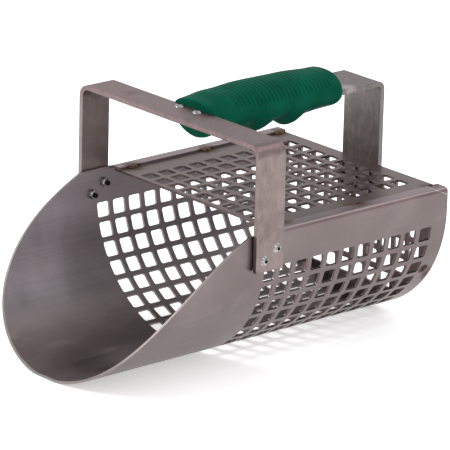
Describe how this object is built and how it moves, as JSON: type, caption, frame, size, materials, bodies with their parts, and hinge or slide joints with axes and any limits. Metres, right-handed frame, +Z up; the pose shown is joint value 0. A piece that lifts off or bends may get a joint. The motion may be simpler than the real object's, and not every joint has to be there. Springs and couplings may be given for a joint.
{
  "type": "beach sand scoop",
  "caption": "Perforated metal hand scoop with a rounded trough, slanted mouth, closed perforated top and back, a strap bail and a ringed moulded grip on a flat bar.",
  "frame": {"origin": "middle of the footprint, on the ground under the narrow flat strip that the round bottom stands on", "axes": "+X across the scoop, +Y from the mouth towards the closed back, +Z up towards the grip"},
  "size_m": [0.1702, 0.2547, 0.1581],
  "materials": {
    "sheet_steel": "satin stainless sheet with handling smears",
    "bar_steel": "mill-finish flat bar, streaked along its length",
    "grip": "semi-gloss moulded vinyl with fine rings",
    "rivet": "bright dome head",
    "rivet_pin": "dark broken end",
    "weld": "brown heat-tinted weld tack"
  },
  "bodies": {
    "root": {"back_plate": "sheet_steel", "bar_rivet_left": "rivet", "bar_rivet_pin_left": "rivet_pin", "bar_rivet_pin_right": "rivet_pin", "bar_rivet_right": "rivet", "bar_tack_bottom": "weld", "bar_tack_left": "weld", "bar_tack_right": "weld", "flange_tack_left_front": "weld", "flange_tack_left_middle": "weld", "flange_tack_left_rear": "weld", "flange_tack_right_front": "weld", "flange_tack_right_middle": "weld", "flange_tack_right_rear": "weld", "front_bail": "bar_steel", "grip": "grip", "handle_bar": "bar_steel", "leg_rivet_left_high": "rivet", "leg_rivet_left_low": "rivet", "leg_rivet_pin_left_high": "rivet_pin", "leg_rivet_pin_left_low": "rivet_pin", "leg_rivet_pin_right_high": "rivet_pin", "leg_rivet_pin_right_low": "rivet_pin", "leg_rivet_right_high": "rivet", "leg_rivet_right_low": "rivet", "scoop_shell": "sheet_steel", "seam_tack_bottom": "weld", "seam_tack_left": "weld", "seam_tack_right": "weld", "top_plate": "sheet_steel"}
  },
  "joints": []
}
